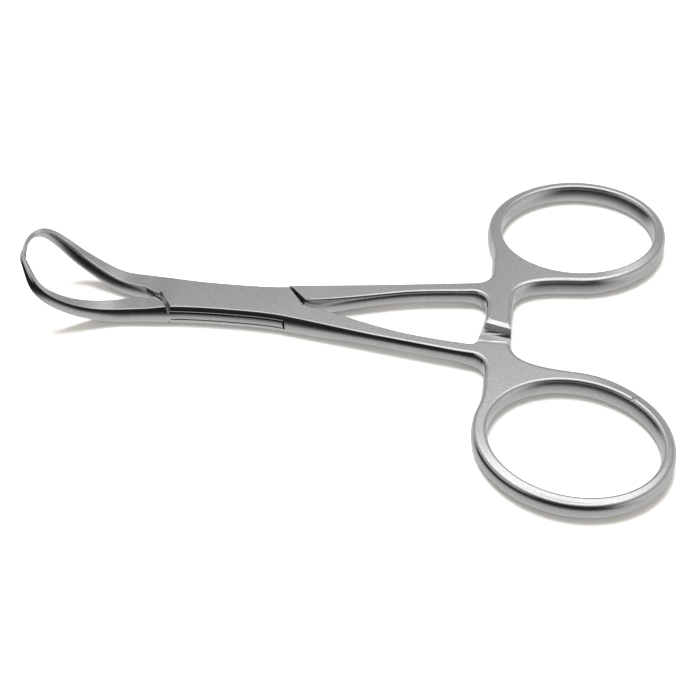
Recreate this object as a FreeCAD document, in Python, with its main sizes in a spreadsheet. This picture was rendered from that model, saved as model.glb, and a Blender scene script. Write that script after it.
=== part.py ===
import FreeCAD, Part
import math
import os
from dataclasses import dataclass
from FreeCAD import Placement, Rotation, Vector

# Towel clamp: two forged halves crossed in a box lock, turning on one flush pin.
# Frame: millimetres, +Z up, X along the clamp with the points toward -X and the
# finger rings toward +X, pivot axis on X = Y = 0, the underside of the box on Z = 0.
# Both halves are drawn with the shank and ring on +Y and the tine on -Y, which is how
# the male half lies. The female half, with the box, is mirrored across Y = 0 at the end.

# Driving sizes: millimetres, degrees or counts
SIZES = {
    # box lock
    "box_thickness": 4.1,
    "box_flat_reach": 9.0,
    "box_waist_width": 5.8,
    "box_end_width": 6.7,
    "box_end_x": 10.1,
    "side_bulge": 0.42,
    "tine_plate_end_reach": 10.05,
    "tine_plate_end_angle": 34.0,
    "shank_plate_end_reach": 9.45,
    "shank_plate_end_angle": 42.0,
    "slot_wall_reach": 9.9,
    "slot_wall_angle": 42.0,
    "slot_height": 1.45,
    "tongue_face_gap": 0.05,
    "tongue_end_gap": 0.15,
    "shoulder_angle": 46.5,
    "shoulder_gap": 0.25,
    "shoulder_step": 0.3,
    "pin_diameter": 2.6,
    "pin_running_gap": 0.05,
    # shanks
    "shank_flare_angle": 7.9,
    "shank_root_x": 12.2,
    "shank_root_width": 3.05,
    "shank_waist_width": 1.25,
    "shank_waist_x": 32.5,
    "shank_end_width": 1.4,
    "shank_end_x": 38.5,
    "shank_thickness": 2.6,
    "shank_top_drop": 0.35,
    "shank_thin_x": 27.0,
    "male_shank_stand": 0.25,
    # finger rings
    "ring_overhang": 1.3,
    "ring_near_y": 10.3,
    "ring_half_length": 15.1,
    "ring_half_width": 12.45,
    "ring_tilt": 7.5,
    "ring_band": 1.35,
    "ring_hole_shift": 0.2,
    "ring_thickness": 3.7,
    "ring_bend_x": 43.5,
    # web and ratchet arms
    "web_left_x": 44.35,
    "web_fillet": 3.1,
    "arm_left_x": 43.9,
    "arm_width": 3.5,
    "arm_end_y": 2.6,
    "arm_end_slant": 0.9,
    "arm_fillet": 5.2,
    "arm_step_y": 5.0,
    "arm_face_gap": 0.03,
    "male_arm_corner": 3.0,
    "female_arm_corner": 1.5,
    "female_arm_widening": 1.2,
    "tooth_count": 8,
    "tooth_pitch": 0.62,
    "tooth_depth": 0.35,
    # tines
    "tine_flare_angle": 6.0,
    "tine_inner_y": 1.32,
    "tine_root_thickness": 3.3,
    "tine_seat": 0.4,
    "tine_reach": 33.95,
    "tine_bow": 5.85,
    "tine_rise": 10.45,
    "tine_hook_y": 1.1,
    "female_tip_crossing": 1.6,
    "male_tip_crossing": 0.8,
    "tip_side_step": 0.38,
    "tip_width": 0.25,
    "tip_thickness": 0.35,
}

# Places round the outer oval of a ring, in degrees, where the web's edges run into it
RING_JOINS_ARM = 265.0
RING_JOINS_WEB = 190.0

# Course of a tine: shares of its length, of its bow away from the axis and of its rise
TINE_COURSE = [
    (0.26, 0.28, 0.00),
    (0.49, 0.67, 0.13),
    (0.70, 0.98, 0.38),
    (0.85, 0.97, 0.71),
    (0.935, 0.41, 0.94),
]
# Where the point starts to hook over the axis, and how high it ends, in the same shares
HOOK_STARTS = 0.985
POINT_ENDS_AT = 0.89
# Share of a tine's length from which its point is stepped aside, to pass the other one
STEP_STARTS = 0.85
# How sharply a tine's width and thickness fall toward the point
WIDTH_FALL = 1.6
THICKNESS_FALL = 1.7
TINE_SECTIONS = 16

# Lengths that only carry one solid past another before a cut
SPARE = 0.2
PAST = 8.0
SEAM_INSET = 0.02

doc = FreeCAD.newDocument("TowelClamp")
sheet = doc.addObject("Spreadsheet::Sheet", "Sizes")
for row, (alias, value) in enumerate(SIZES.items(), start=1):
    sheet.set(f"A{row}", alias)
    sheet.set(f"B{row}", str(value))
    sheet.setAlias(f"B{row}", alias)
doc.recompute()


def size(alias):
    """One driving size, read back from the sheet."""
    return float(sheet.get(alias))


def slope(alias):
    """Sideways run for each millimetre of length, from an angle in the sheet."""
    return math.tan(math.radians(size(alias)))


def add_solid(name, shape):
    """A free-form solid as an object of the document."""
    feature = doc.addObject("Part::Feature", name)
    feature.Shape = shape
    return feature


def combine(kind, name, base, tool):
    """A boolean of two objects: Cut, Fuse or Common."""
    result = doc.addObject(f"Part::{kind}", name)
    result.Base = base
    result.Tool = tool
    return result


def bind(feature, **expressions):
    """Binds properties of an object to the sheet, with dots written as two underscores."""
    for path, expression in expressions.items():
        feature.setExpression(path.replace("__", "."), expression)
    return feature


# Curves in plan, each a list of (point, direction)

def graph(height_at, first_x, last_x, count):
    """The curve y = height_at(x), travelled from one x to another."""
    heading = 1 if last_x > first_x else -1
    nudge = 0.01
    samples = []
    for step in range(count):
        x = first_x + (last_x - first_x) * step / (count - 1)
        rise = (height_at(x + nudge) - height_at(x - nudge)) / (2 * nudge)
        samples.append((Vector(x, height_at(x)), Vector(heading, heading * rise).normalize()))
    return samples


def along(curve, count):
    """A curve as evenly spaced samples."""
    first, last = curve.FirstParameter, curve.LastParameter
    steps = [first + (last - first) * step / (count - 1) for step in range(count)]
    return [(curve.value(step), curve.tangent(step)[0]) for step in steps]


def straight(start, end):
    """A straight stretch as its two ends."""
    direction = (end - start).normalize()
    return [(start, direction), (end, direction)]


def crossing(first, first_direction, second, second_direction):
    """The point where two lines cross in plan."""
    gap = second - first
    turn = first_direction.cross(second_direction).z
    return first + first_direction * (gap.cross(second_direction).z / turn)


def corner_arc(before, corner, after, radius):
    """The arc of a radius that rounds the corner of a path."""
    arriving = (corner - before).normalize()
    leaving = (after - corner).normalize()
    half_turn = arriving.getAngle(leaving) / 2
    start = corner - arriving * radius * math.tan(half_turn)
    end = corner + leaving * radius * math.tan(half_turn)
    toward_centre = (leaving - arriving).normalize()
    middle = corner + toward_centre * radius * (1 / math.cos(half_turn) - 1)
    samples = along(Part.Arc(start, middle, end), 9)
    if samples[0][1].dot(arriving) < 0:
        samples = [(point, -direction) for point, direction in samples]
    return samples


def corner_blend(start, corner, end, first_pull, second_pull):
    """A curve that leaves toward a corner and arrives from it, without reaching it."""
    curve = Part.BezierCurve()
    first_pole = start + (corner - start) * first_pull
    second_pole = end + (corner - end) * second_pull
    curve.setPoles([start, first_pole, second_pole, end])
    return along(curve, 12)


# Edges of a half in plan

def outer_y(x):
    """Distance of the outer edge from the axis: waisted at the box, flaring beyond it."""
    waist = size("box_waist_width") / 2
    end = size("box_end_width") / 2
    end_x = size("box_end_x")
    flare = slope("shank_flare_angle") if x > 0 else slope("tine_flare_angle")
    share = abs(x) / end_x
    if share > 1:
        return end + flare * (abs(x) - end_x)
    return waist + (end - waist) * share**2 * (3 - 2 * share) - flare * end_x * share**2 * (1 - share)


def shank_inner_y(x):
    """Inner edge of a shank: the outer edge less a width that tapers to the waist."""
    root_x, waist_x, end_x = size("shank_root_x"), size("shank_waist_x"), size("shank_end_x")
    waist = size("shank_waist_width")
    if x > waist_x:
        share = (x - waist_x) / (end_x - waist_x)
        return outer_y(x) - waist - (size("shank_end_width") - waist) * share**2
    share = max(0.0, (x - root_x) / (waist_x - root_x))
    return outer_y(x) - waist - (size("shank_root_width") - waist) * (1 - share**2 * (3 - 2 * share))


@dataclass(frozen=True)
class EndLine:
    """A slanted end of the box or tongue: end is +1 at the shank, -1 at the tine."""

    end: int
    reach: float
    angle: float

    def x_at(self, y):
        """Where the line lies at a height."""
        turn = math.radians(self.angle)
        return self.end * (self.reach + self.end * y * math.sin(turn)) / math.cos(turn)

    def meets(self, height_at):
        """The point where the line meets the edge y = height_at(x)."""
        x = self.end * self.reach
        for _ in range(40):
            x = self.x_at(height_at(x))
        return Vector(x, height_at(x))


def ring_centre():
    """Middle of a ring's outer oval, which overhangs the web and clears the axis."""
    x = size("web_left_x") - size("ring_overhang") + size("ring_half_length")
    return Vector(x, size("ring_near_y") + size("ring_half_width"))


def ring_sample(degrees):
    """A point of a ring's outer oval, with the direction of travel round it."""
    turn = math.radians(degrees)
    tilt = Rotation(Vector(0, 0, 1), size("ring_tilt"))
    length, width = size("ring_half_length"), size("ring_half_width")
    point = tilt.multVec(Vector(length * math.cos(turn), width * math.sin(turn)))
    direction = tilt.multVec(Vector(-length * math.sin(turn), width * math.cos(turn)))
    return ring_centre() + point, direction.normalize()


@dataclass(frozen=True)
class HalfForm:
    """What differs between the outlines of the two halves."""

    tine_end: EndLine
    shank_end: EndLine
    tine_start_y: float
    shank_start_x: float
    shank_stand: float
    arm_corner: float
    arm_widening: float


def tongue_end(end):
    """An end of the male tongue, parallel to the wall of the slot that it faces."""
    return EndLine(end, size("slot_wall_reach") - size("tongue_end_gap"), size("slot_wall_angle"))


def tine_root_x():
    """Distance of a tine's root plane from the pivot, just past the tongue's corner."""
    return size("tine_seat") - tongue_end(-1).x_at(-size("tine_inner_y"))


def lower_side(form):
    """Outer edge on the tine's side, from the tine's root to the box end at the shank."""
    corner = form.shank_end.meets(lambda x: -outer_y(x))
    return [graph(lambda x: -outer_y(x), -tine_root_x(), corner.x, 25)]


def inner_side(form):
    """Inner edge of the shank and, past a rounded corner, the left edge of the arm."""
    start = form.shank_end.meets(shank_inner_y)
    shank = graph(shank_inner_y, start.x, size("shank_end_x"), 16)
    arm_end = Vector(size("arm_left_x"), size("arm_end_slant") - size("arm_end_y"))
    arm_root = Vector(size("arm_left_x") - form.arm_widening, size("arm_step_y"))
    shank_end, shank_direction = shank[-1]
    corner = crossing(shank_end, shank_direction, arm_end, arm_root - arm_end)
    arc = corner_arc(shank_end, corner, arm_end, form.arm_corner)
    return [shank, straight(shank_end, arc[0][0]), arc, straight(arc[-1][0], arm_end)]


def ring_side(form):
    """Right edge of the arm, round the ring, down the web and back along the shank and box."""
    arm_x = size("arm_left_x") + size("arm_width")
    ring_start, ring_direction = ring_sample(RING_JOINS_ARM)
    arm_corner = crossing(ring_start, ring_direction, Vector(arm_x, 0), Vector(0, 1))
    arm_top = arm_corner - Vector(0, size("arm_fillet"))
    degrees = 360 + RING_JOINS_WEB - RING_JOINS_ARM
    ring = [ring_sample(RING_JOINS_ARM + degrees * step / 36) for step in range(37)]

    ring_end, leaving = ring[-1]
    web_x = size("web_left_x")
    web_corner = crossing(ring_end, leaving, Vector(web_x, 0), Vector(0, 1))
    web_top = web_corner - Vector(0, (web_corner - ring_end).Length)
    web_foot = Vector(web_x, outer_y(web_x))
    start_x, stand = form.shank_start_x, form.shank_stand
    shank_start = Vector(start_x, outer_y(start_x) + stand)
    fillet = corner_arc(web_top, web_foot, shank_start, size("web_fillet"))
    step_foot = Vector(start_x - stand, outer_y(start_x - stand))
    step_down = [straight(shank_start, step_foot)] if stand > 0 else []
    tine_corner = form.tine_end.meets(outer_y)
    return [
        straight(Vector(arm_x, -size("arm_end_y")), arm_top),
        corner_blend(arm_top, arm_corner, ring_start, 0.86, 0.63),
        ring,
        corner_blend(ring_end, web_corner, web_top, 0.6, 0.6),
        straight(web_top, fillet[0][0]),
        fillet,
        straight(fillet[-1][0], shank_start),
    ] + step_down + [graph(outer_y, step_foot.x, tine_corner.x, 17)]


def tine_side(form):
    """Inner edge on the tine's side, from the box end at the tine to the tine's root."""
    start = Vector(form.tine_end.x_at(form.tine_start_y), form.tine_start_y)
    return [straight(start, Vector(-tine_root_x(), -size("tine_inner_y")))]


# Forged blank: convex sides, flat ends

def bulge_at(z):
    """How far the convex sides stand out at a height, less than nothing past the faces."""
    middle = size("box_thickness") / 2
    return size("side_bulge") * (1 - ((z - middle) / middle) ** 2)


def outward(direction):
    """The direction that points out of an outline travelled counterclockwise."""
    return Vector(direction.y, -direction.x)


def slide(sample, flat_direction, offset):
    """Moves an end of a convex side along the flat end beside it."""
    point, direction = sample
    return point + flat_direction * (offset / flat_direction.dot(outward(direction)))


def edge_through(points):
    """A straight edge for two points, a smooth one for more."""
    if len(points) == 2:
        return Part.LineSegment(*points).toShape()
    curve = Part.BSplineCurve()
    curve.interpolate(points)
    return curve.toShape()


def outline_at(sides, z):
    """The outline at one height: convex sides moved out, flat ends where they were."""
    offset = bulge_at(z)
    rows_of_side = []
    for number, side in enumerate(sides):
        flat_before = (side[0][0][0] - sides[number - 1][-1][-1][0]).normalize()
        flat_after = (sides[(number + 1) % len(sides)][0][0][0] - side[-1][-1][0]).normalize()
        rows = [[point + outward(direction) * offset for point, direction in part] for part in side]
        for row, next_row in zip(rows, rows[1:]):
            next_row[0] = row[-1]
        rows[0][0] = slide(side[0][0], flat_before, offset)
        rows[-1][-1] = slide(side[-1][-1], flat_after, offset)
        rows_of_side.append(rows)

    edges = []
    for number, rows in enumerate(rows_of_side):
        next_start = rows_of_side[(number + 1) % len(sides)][0][0]
        edges += [edge_through(row) for row in rows]
        edges.append(edge_through([rows[-1][-1], next_start]))
    wire = Part.Wire(edges)
    wire.translate(Vector(0, 0, z))
    return wire


def blank(form):
    """A half's plan outline as a solid with convex sides, a little past both faces."""
    sides = [lower_side(form), inner_side(form), ring_side(form), tine_side(form)]
    thickness = size("box_thickness")
    levels = (-SPARE, thickness / 2, thickness + SPARE)
    return Part.makeLoft([outline_at(sides, z) for z in levels], True, False)


def ring_hole():
    """The finger hole, narrowest at mid height where its wall stands out."""
    rotation = Rotation(Vector(0, 0, 1), size("ring_tilt"))
    shift = size("ring_hole_shift")
    centre = ring_centre() + Vector(shift, shift)
    thickness = size("box_thickness")
    rims = []
    for z in (-SPARE, thickness / 2, thickness + SPARE):
        inset = size("ring_band") + bulge_at(z)
        rim = Part.Ellipse(Vector(), size("ring_half_length") - inset, size("ring_half_width") - inset)
        wire = Part.Wire(rim.toShape())
        wire.Placement = Placement(centre + Vector(0, 0, z), rotation)
        rims.append(wire)
    return Part.makeLoft(rims, True, False)


def ease(start, end):
    """A level-to-level curve in the XZ plane."""
    middle = (start.x + end.x) / 2
    curve = Part.BezierCurve()
    curve.setPoles([start, Vector(middle, 0, start.z), Vector(middle, 0, end.z), end])
    return curve.toShape()


def face_line(heights):
    """Top or bottom face seen from the side, from the tine's root to past the rings."""
    tine_z, box_z, shank_z, ring_z = heights
    far_x = ring_centre().x + size("ring_half_length") + PAST
    stations = [
        (-tine_root_x() - PAST, tine_z), (-tine_root_x(), tine_z),
        (-size("box_flat_reach"), box_z), (size("box_flat_reach"), box_z),
        (size("shank_thin_x"), shank_z), (size("shank_end_x"), shank_z),
        (size("ring_bend_x"), ring_z), (far_x, ring_z),
    ]
    points = [Vector(x, 0, z) for x, z in stations]
    edges = []
    for start, end in zip(points, points[1:]):
        level = abs(start.z - end.z) < 1e-9
        edges.append(Part.LineSegment(start, end).toShape() if level else ease(start, end))
    return edges


def thickness_band():
    """All that lies between the top and bottom faces, as wide as both rings and more."""
    thickness = size("box_thickness")
    middle = thickness / 2
    half_tine, half_ring = size("tine_root_thickness") / 2, size("ring_thickness") / 2
    shank_top = thickness - size("shank_top_drop")
    shank_bottom = shank_top - size("shank_thickness")
    top = face_line((middle + half_tine, thickness, shank_top, middle + half_ring))
    bottom = face_line((middle - half_tine, 0, shank_bottom, middle - half_ring))
    left = Part.LineSegment(bottom[0].Vertexes[0].Point, top[0].Vertexes[0].Point).toShape()
    right = Part.LineSegment(bottom[-1].Vertexes[-1].Point, top[-1].Vertexes[-1].Point).toShape()
    face = Part.Face(Part.Wire(Part.__sortEdges__(top + bottom + [left, right])))
    reach = ring_centre().y + size("ring_half_length") + PAST
    face.translate(Vector(0, -reach, 0))
    return face.extrude(Vector(0, 2 * reach, 0))


# Tines

def tine_stations(root_y, side_step, crossing_y):
    """Places along the middle of a tine, from its root to its point."""
    root_x, middle = tine_root_x(), size("box_thickness") / 2
    run, bow = size("tine_reach") - root_x, size("tine_bow")
    places = [(share, -root_y - (bow - root_y) * aside, rise) for share, aside, rise in TINE_COURSE]
    places += [(HOOK_STARTS, -size("tine_hook_y"), 1.0), (1.0, crossing_y, POINT_ENDS_AT)]
    points = [Vector(-root_x, -root_y, middle)]
    for share, y, rise in places:
        stepped = side_step * max(0.0, (share - STEP_STARTS) / (1 - STEP_STARTS)) ** 2
        points.append(Vector(stepped - root_x - run * share, y, middle + size("tine_rise") * rise))
    return points


def tine_section(centre, direction, width, thickness, bulge):
    """A section across a tine: flat above and below, with convex sides."""
    across = Vector(direction.y, -direction.x, 0).normalize()
    lift = across.cross(direction).normalize() * (thickness / 2)
    half, swell = across * (width / 2), across * (width / 2 + bulge)
    corners = [centre + half + lift, centre - half + lift, centre - half - lift, centre + half - lift]
    return Part.Wire([
        Part.LineSegment(corners[0], corners[1]).toShape(),
        Part.Arc(corners[1], centre - swell, corners[2]).toShape(),
        Part.LineSegment(corners[2], corners[3]).toShape(),
        Part.Arc(corners[3], centre + swell, corners[0]).toShape(),
    ])


def tine(side_step, crossing_y):
    """A curved tine, tapering to its point, rooted a little way inside the flat part."""
    root_x, inner_y = tine_root_x(), size("tine_inner_y")
    root_outer_y = outer_y(-root_x)
    root_thickness = size("tine_root_thickness")
    top_z = (size("box_thickness") + root_thickness) / 2
    root_bulge = size("side_bulge") - bulge_at(top_z)
    root_width = root_outer_y - inner_y + 2 * bulge_at(top_z) - 2 * SEAM_INSET
    course = Part.BSplineCurve()
    course.interpolate(tine_stations((root_outer_y + inner_y) / 2, side_step, crossing_y))
    length = course.length()

    sections = []
    for step in range(TINE_SECTIONS):
        share = step / (TINE_SECTIONS - 1)
        at = course.parameterAtDistance(length * share)
        direction = course.tangent(at)[0] if step else Vector(-1, 0, 0)
        width = size("tip_width") + (root_width - size("tip_width")) * (1 - share) ** WIDTH_FALL
        thickness = size("tip_thickness")
        thickness += (root_thickness - 2 * SEAM_INSET - thickness) * (1 - share**THICKNESS_FALL)
        bulge = root_bulge * thickness / root_thickness
        sections.append(tine_section(course.value(at), direction, width, thickness, bulge))
    inside = sections[0].copy()
    inside.translate(Vector(size("tine_seat") / 2, 0, 0))
    return Part.makeLoft([inside] + sections, True, False)


# What is cut out of the halves

def prism(corners, bottom, top):
    """A straight-sided solid over a polygon in plan."""
    outline = [Vector(corner.x, corner.y, bottom) for corner in corners]
    face = Part.Face(Part.makePolygon(outline + outline[:1]))
    return face.extrude(Vector(0, 0, top - bottom))


def plate_end(end):
    """An end of the plates of the box, as the female half is drawn."""
    name = "shank" if end > 0 else "tine"
    return EndLine(end, size(f"{name}_plate_end_reach"), size(f"{name}_plate_end_angle"))


def shoulder(end):
    """A shoulder of the male half, clear of the outer corner of the plate that it faces.

    It is stated as the female half is drawn, mirrored across Y = 0.
    """
    corner = plate_end(end).meets(lambda x: -end * outer_y(x))
    turn = math.radians(size("shoulder_angle"))
    reach = abs(corner.x) * math.cos(turn) + abs(corner.y) * math.sin(turn)
    return EndLine(end, reach + size("shoulder_gap"), size("shoulder_angle"))


def shoulder_relief(bottom, top):
    """Room for one plate of the box between the shoulders of the male half."""
    at_tine, at_shank = shoulder(-1), shoulder(1)
    tine_inner_y, seat = -size("tine_inner_y"), size("tine_seat")
    step_y = tine_inner_y - size("shoulder_step")
    tongue_corner = Vector(seat - tine_root_x(), tine_inner_y)
    tine_clear = tongue_corner + Vector(-0.8 * seat, 1.5 * seat)
    crotch = at_shank.meets(lambda x: -shank_inner_y(x))
    past_x = size("shank_root_x") + PAST / 2
    corners = [
        Vector(at_tine.x_at(PAST), -PAST), Vector(at_tine.x_at(-step_y), step_y), tongue_corner,
        tine_clear, Vector(tine_clear.x, PAST), Vector(at_shank.x_at(-PAST), PAST),
        Vector(crotch.x, -crotch.y), Vector(past_x, -crotch.y), Vector(past_x, -PAST),
    ]
    return prism(corners, bottom, top)


def saw_cutter(face_z, into):
    """The gaps between ratchet teeth, cut across an arm from its free face."""
    pitch, depth, count = size("tooth_pitch"), size("tooth_depth"), int(size("tooth_count"))
    left_x = size("arm_left_x") - size("male_arm_corner")
    start_y = -size("arm_end_y")
    points = [Vector(left_x, start_y, face_z - into * SPARE)]
    for tooth in range(count):
        points.append(Vector(left_x, start_y + tooth * pitch, face_z + into * depth))
        points.append(Vector(left_x, start_y + (tooth + 1) * pitch, face_z))
    points.append(points[-1] - Vector(0, 0, into * SPARE))
    width = size("arm_width") + 2 * size("male_arm_corner")
    return Part.Face(Part.makePolygon(points + points[:1])).extrude(Vector(width, 0, 0))


def round_hole(name, diameter):
    """A bore on the pivot axis, through both faces."""
    hole = doc.addObject("Part::Cylinder", name)
    bind(hole, Radius=f"({diameter}) / 2", Height=f"Sizes.box_thickness + {2 * SPARE}")
    hole.Placement = Placement(Vector(0, 0, -SPARE), Rotation())
    return hole


def slot():
    """The slot through the box: a flat strip, slanted in plan, open at both sides."""
    box = doc.addObject("Part::Box", "SlotCutter")
    turn = "Sizes.slot_wall_angle * 1 deg"
    box.Placement = Placement(Vector(), Rotation(Vector(0, 0, 1), size("slot_wall_angle")))
    return bind(
        box,
        Length="2 * Sizes.slot_wall_reach",
        Width="4 * Sizes.slot_wall_reach",
        Height="Sizes.slot_height",
        Placement__Rotation__Angle=turn,
        Placement__Base__x=f"Sizes.slot_wall_reach * (2 * sin({turn}) - cos({turn}))",
        Placement__Base__y=f"-Sizes.slot_wall_reach * (sin({turn}) + 2 * cos({turn}))",
        Placement__Base__z="(Sizes.box_thickness - Sizes.slot_height) / 2",
    )


def arm_recess(name, lower_half):
    """Room for the other half's ratchet arm, above or below this half's own arm."""
    box = doc.addObject("Part::Box", name)
    middle = "Sizes.box_thickness / 2"
    bottom = "-Sizes.box_thickness" if lower_half else f"{middle} - Sizes.arm_face_gap"
    height = f"{middle} + Sizes.arm_face_gap + Sizes.box_thickness"
    return bind(
        box,
        Length="Sizes.arm_width + 2 * Sizes.male_arm_corner",
        Width="Sizes.arm_step_y + 2 * Sizes.arm_end_y",
        Height=height,
        Placement__Base__x="Sizes.arm_left_x - Sizes.male_arm_corner",
        Placement__Base__y="-2 * Sizes.arm_end_y",
        Placement__Base__z=bottom,
    )


# The three pieces

def cut_all(name, base, cutters):
    """Takes each cutter out of a base in turn."""
    for number, cutter in enumerate(cutters, start=1):
        base = combine("Cut", f"{name}Cut{number}", base, cutter)
    return base


def forged_half(name, form, own_tine, cutters):
    """A half in one piece: blank between its faces, ring pierced, cuts made, tine added."""
    flat = combine("Common", f"{name}Flat", add_solid(f"{name}Blank", blank(form)),
                   add_solid(f"{name}Band", thickness_band()))
    pierced = [add_solid(f"{name}RingHole", ring_hole())] + cutters
    flat = cut_all(name, flat, pierced)
    return combine("Fuse", f"{name}Half", flat, add_solid(f"{name}Tine", own_tine))


def female_half():
    """The half with the box: slotted plates, press-fit pin hole, lower ratchet arm."""
    form = HalfForm(plate_end(-1), plate_end(1), 0.0, size("box_end_x"), 0.0,
                    size("female_arm_corner"), size("female_arm_widening"))
    face_z = size("box_thickness") / 2 - size("arm_face_gap")
    cutters = [
        slot(),
        round_hole("FemalePinHole", "Sizes.pin_diameter"),
        arm_recess("FemaleArmRecess", False),
        add_solid("FemaleTeeth", saw_cutter(face_z, -1)),
    ]
    own_tine = tine(size("tip_side_step"), size("female_tip_crossing"))
    drawn = forged_half("Female", form, own_tine, cutters)
    half = doc.addObject("Part::Mirroring", "FemaleMirrored")
    half.Source = drawn
    half.Normal = (0, 1, 0)
    half.Label = "female_half"
    return half


def male_half():
    """The half with the tongue: relieved above and below it, upper ratchet arm."""
    shoulder_x = shoulder(1).meets(lambda x: -outer_y(x)).x
    form = HalfForm(tongue_end(-1), tongue_end(1), -size("tine_inner_y"), shoulder_x,
                    size("male_shank_stand"), size("male_arm_corner"), 0.0)
    middle = size("box_thickness") / 2
    half_tongue = size("slot_height") / 2 - size("tongue_face_gap")
    cutters = [
        add_solid("LowerRelief", shoulder_relief(-PAST, middle - half_tongue)),
        add_solid("UpperRelief", shoulder_relief(middle + half_tongue, PAST)),
        round_hole("MalePinHole", "Sizes.pin_diameter + 2 * Sizes.pin_running_gap"),
        arm_recess("MaleArmRecess", True),
        add_solid("MaleTeeth", saw_cutter(middle + size("arm_face_gap"), 1)),
    ]
    own_tine = tine(-size("tip_side_step"), size("male_tip_crossing"))
    half = forged_half("Male", form, own_tine, cutters)
    half.Label = "male_half"
    return half


def pivot_pin():
    """The pin, pressed into both plates and ground flush with them."""
    pin = doc.addObject("Part::Cylinder", "Pin")
    bind(pin, Radius="Sizes.pin_diameter / 2", Height="Sizes.box_thickness")
    pin.Placement = Placement(Vector(), Rotation())
    pin.Label = "pivot_pin"
    return pin


def checked(feature):
    """The shape of a sub-part, once it is known to be one sound solid."""
    shape = feature.Shape
    if shape.isNull() or not shape.isValid() or len(shape.Solids) != 1:
        raise RuntimeError(f"{feature.Label} is not one valid solid")
    return shape


pieces = [female_half(), male_half(), pivot_pin()]
doc.recompute()
for feature in doc.Objects:
    if {"Invalid", "Error"} & set(feature.State):
        raise RuntimeError(f"{feature.Name} failed: {feature.State}")

os.makedirs("parts", exist_ok=True)
for piece in pieces:
    shape = checked(piece)
    shape.exportStep(f"parts/{piece.Label}.step")
    print(f"{piece.Label}: {shape.Volume:.1f} mm3, {shape.BoundBox}")
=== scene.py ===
"""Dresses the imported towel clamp: ground and polished steel, a pale table, soft light."""

import logging
import math
from collections.abc import Callable, Sequence
from dataclasses import dataclass
from enum import Enum

import bmesh
import bpy
import numpy as np
from mathutils import Matrix, Vector
from mathutils.geometry import tessellate_polygon

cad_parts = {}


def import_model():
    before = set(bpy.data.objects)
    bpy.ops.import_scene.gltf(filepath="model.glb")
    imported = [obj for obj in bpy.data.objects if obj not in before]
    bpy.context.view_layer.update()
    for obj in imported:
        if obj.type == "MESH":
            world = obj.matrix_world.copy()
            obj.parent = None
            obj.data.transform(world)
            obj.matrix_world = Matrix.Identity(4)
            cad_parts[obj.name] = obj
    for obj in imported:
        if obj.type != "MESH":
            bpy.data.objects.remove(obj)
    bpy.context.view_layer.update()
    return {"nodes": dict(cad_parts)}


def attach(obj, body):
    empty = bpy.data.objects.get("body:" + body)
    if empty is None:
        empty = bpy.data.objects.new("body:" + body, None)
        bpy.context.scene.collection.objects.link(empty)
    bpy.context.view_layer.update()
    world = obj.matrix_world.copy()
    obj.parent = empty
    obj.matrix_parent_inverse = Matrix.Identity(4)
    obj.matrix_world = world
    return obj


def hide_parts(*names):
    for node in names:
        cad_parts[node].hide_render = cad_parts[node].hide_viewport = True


logging.basicConfig(level=logging.INFO, format="%(message)s")
log = logging.getLogger("towel_clamp")

MM = 0.001
Path = list[Vector]
Profile = tuple[tuple[float, float], ...]
Course = tuple[tuple[float, float, float], ...]

# Height of the clamp's middle plane, and a reach that is past any edge, in millimetres
MIDDLE = 2.05
PAST = 8.0

# How far a cutter stands clear of the face that it starts from
CLEAR = 0.02

# How many points make up each kind of line
LAYERS = 13
ARC_POINTS = 14
BLEND_POINTS = 18
LIP_POINTS = 25
SIDE_POINTS = 40
RING_POINTS = 110
HOLE_POINTS = 144
CURVE_POINTS = 1200

# Steps that bring the crossing of a line and an edge to rest
MEETING_STEPS = 40

# Marks flat faces until the edges round them are known
FLAT = 1

# Edges that bend by less than this, in degrees, are shaded smooth
SMOOTH_ANGLE = 32


class Node(str, Enum):
    """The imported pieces."""

    FEMALE = "female_half"
    MALE = "male_half"
    PIN = "pivot_pin"


def flat(x: float, y: float) -> Vector:
    """A point in plan.

    Args:
        x: Along the clamp.
        y: Across it.

    Returns:
        The point, with no height.
    """
    return Vector((x, y, 0))


def spread(first: float, last: float, count: int) -> list[float]:
    """Evenly spaced numbers.

    Args:
        first: The first number.
        last: The last number.
        count: How many there are.

    Returns:
        The numbers.
    """
    return [first + (last - first) * step / (count - 1) for step in range(count)]


def eased(x: float, places: Sequence[tuple[float, float]]) -> float:
    """A value that passes smoothly from each place to the next.

    Args:
        x: Where it is wanted.
        places: Places and their values, in order.

    Returns:
        The value.
    """
    if x <= places[0][0]:
        return places[0][1]
    for (start, first), (end, last) in zip(places, places[1:]):
        if x <= end:
            share = (x - start) / (end - start)
            return first + (last - first) * share**2 * (3 - 2 * share)
    return places[-1][1]


def crossing(first: Vector, along: Vector, second: Vector, other: Vector) -> Vector:
    """The point where two lines cross in plan.

    Args:
        first: A point of the first line.
        along: Its direction.
        second: A point of the second line.
        other: Its direction.

    Returns:
        The point.
    """
    return first + along * ((second - first).cross(other).z / along.cross(other).z)


def corner_arc(before: Vector, corner: Vector, after: Vector, radius: float) -> Path:
    """The arc that rounds a corner of a path.

    Args:
        before: The point before the corner.
        corner: The corner.
        after: The point after it.
        radius: Radius of the arc.

    Returns:
        Points along the arc.
    """
    arriving, leaving = (corner - before).normalized(), (after - corner).normalized()
    half_turn = arriving.angle(leaving) / 2
    toward = (leaving - arriving).normalized()
    centre = corner + toward * radius / math.cos(half_turn)
    points = []
    side = (arriving + leaving).normalized()
    for angle in spread(-half_turn, half_turn, ARC_POINTS):
        points.append(centre - toward * radius * math.cos(angle)
                      + side * radius * math.sin(angle))
    return points


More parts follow.
